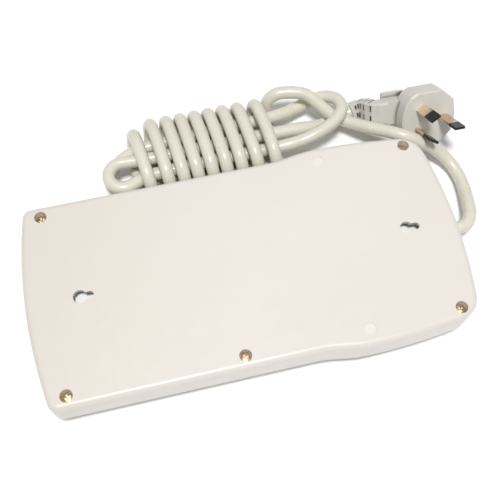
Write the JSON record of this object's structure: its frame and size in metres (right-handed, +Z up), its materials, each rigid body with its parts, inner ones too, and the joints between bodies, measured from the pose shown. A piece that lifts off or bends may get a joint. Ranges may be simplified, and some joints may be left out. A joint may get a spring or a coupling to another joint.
{
  "type": "extension socket",
  "caption": "Wide mains extension socket lying face down, its back cover with wall keyholes and corner screws up, the flex tied in a hank behind it and a flat-pin plug on the end.",
  "frame": {"origin": "centre of the front face that rests on the floor, halfway along the body", "axes": "+X along the body towards the cord entry, +Y across it towards the hank, +Z up, out of the back cover"},
  "size_m": [0.2618, 0.1681, 0.0405],
  "materials": {
    "shell": "satin",
    "cord_sheath": "satin",
    "plug_plastic": "satin",
    "plated_screw": "satin",
    "contact_brass": "satin",
    "pin_brass": "polished",
    "spring_steel": "satin",
    "inner_plastic": "matte",
    "shutter_plastic": "matte",
    "rocker_plastic": "gloss",
    "button_plastic": "gloss",
    "breaker_plastic": "matte",
    "lens": "clear",
    "lamp_glass": "clear",
    "live_insulation": "matte",
    "neutral_insulation": "matte",
    "earth_insulation": "matte",
    "receptacle_sleeve": "matte"
  },
  "bodies": {
    "housing": {"back_cover": "shell", "front_cover": "shell", "housing_screws": "plated_screw", "cord_gland": "cord_sheath", "cord_inside": "cord_sheath", "cord_clamp": "inner_plastic", "keyhole_cups": "inner_plastic", "bar_spacers": "inner_plastic", "clamp_screws": "plated_screw", "live_bar": "contact_brass", "neutral_bar": "contact_brass", "earth_bar": "contact_brass", "shutter_retainers": "inner_plastic", "shutter_springs": "spring_steel", "switch_housing": "breaker_plastic", "switch_terminals": "contact_brass", "breaker_body": "breaker_plastic", "reset_spring": "spring_steel", "breaker_terminals": "contact_brass", "indicator_lens": "lens", "indicator_lamp": "lamp_glass", "receptacles": "receptacle_sleeve", "live_wires": "live_insulation", "neutral_wires": "neutral_insulation", "earth_wire": "earth_insulation", "cord_lead": "cord_sheath", "cord_hank": "cord_sheath", "cord_tail": "cord_sheath", "plug_strain_relief": "plug_plastic", "plug_body": "plug_plastic", "plug_power_pins": "pin_brass", "plug_earth_pin": "pin_brass"},
    "shutter_1": {"shutter_1": "shutter_plastic"},
    "shutter_2": {"shutter_2": "shutter_plastic"},
    "shutter_3": {"shutter_3": "shutter_plastic"},
    "shutter_4": {"shutter_4": "shutter_plastic"},
    "shutter_5": {"shutter_5": "shutter_plastic"},
    "shutter_6": {"shutter_6": "shutter_plastic"},
    "rocker": {"switch_rocker": "rocker_plastic"},
    "reset": {"reset_button": "button_plastic"}
  },
  "joints": [
    {"name": "shutter_1_slide", "type": "slide", "parent": "housing", "child": "shutter_1", "axis": [1, 0, 0], "range_m": [0, 0.0036], "stiffness_N_per_m": 60, "springref_m": -0.004},
    {"name": "shutter_2_slide", "type": "slide", "parent": "housing", "child": "shutter_2", "axis": [1, 0, 0], "range_m": [0, 0.0036], "stiffness_N_per_m": 60, "springref_m": -0.004},
    {"name": "shutter_3_slide", "type": "slide", "parent": "housing", "child": "shutter_3", "axis": [1, 0, 0], "range_m": [0, 0.0036], "stiffness_N_per_m": 60, "springref_m": -0.004},
    {"name": "shutter_4_slide", "type": "slide", "parent": "housing", "child": "shutter_4", "axis": [1, 0, 0], "range_m": [0, 0.0036], "stiffness_N_per_m": 60, "springref_m": -0.004},
    {"name": "shutter_5_slide", "type": "slide", "parent": "housing", "child": "shutter_5", "axis": [1, 0, 0], "range_m": [0, 0.0036], "stiffness_N_per_m": 60, "springref_m": -0.004},
    {"name": "shutter_6_slide", "type": "slide", "parent": "housing", "child": "shutter_6", "axis": [1, 0, 0], "range_m": [0, 0.0036], "stiffness_N_per_m": 60, "springref_m": -0.004},
    {"name": "rocker_tilt", "type": "hinge", "parent": "housing", "child": "rocker", "pos_m": [0.066, 0.024, 0.007], "axis": [0, -1, 0], "range_deg": [0, 12]},
    {"name": "reset_press", "type": "slide", "parent": "housing", "child": "reset", "axis": [0, 0, 1], "range_m": [0, 0.0025], "stiffness_N_per_m": 400, "springref_m": -0.002, "deforming": ["reset_spring"]}
  ]
}
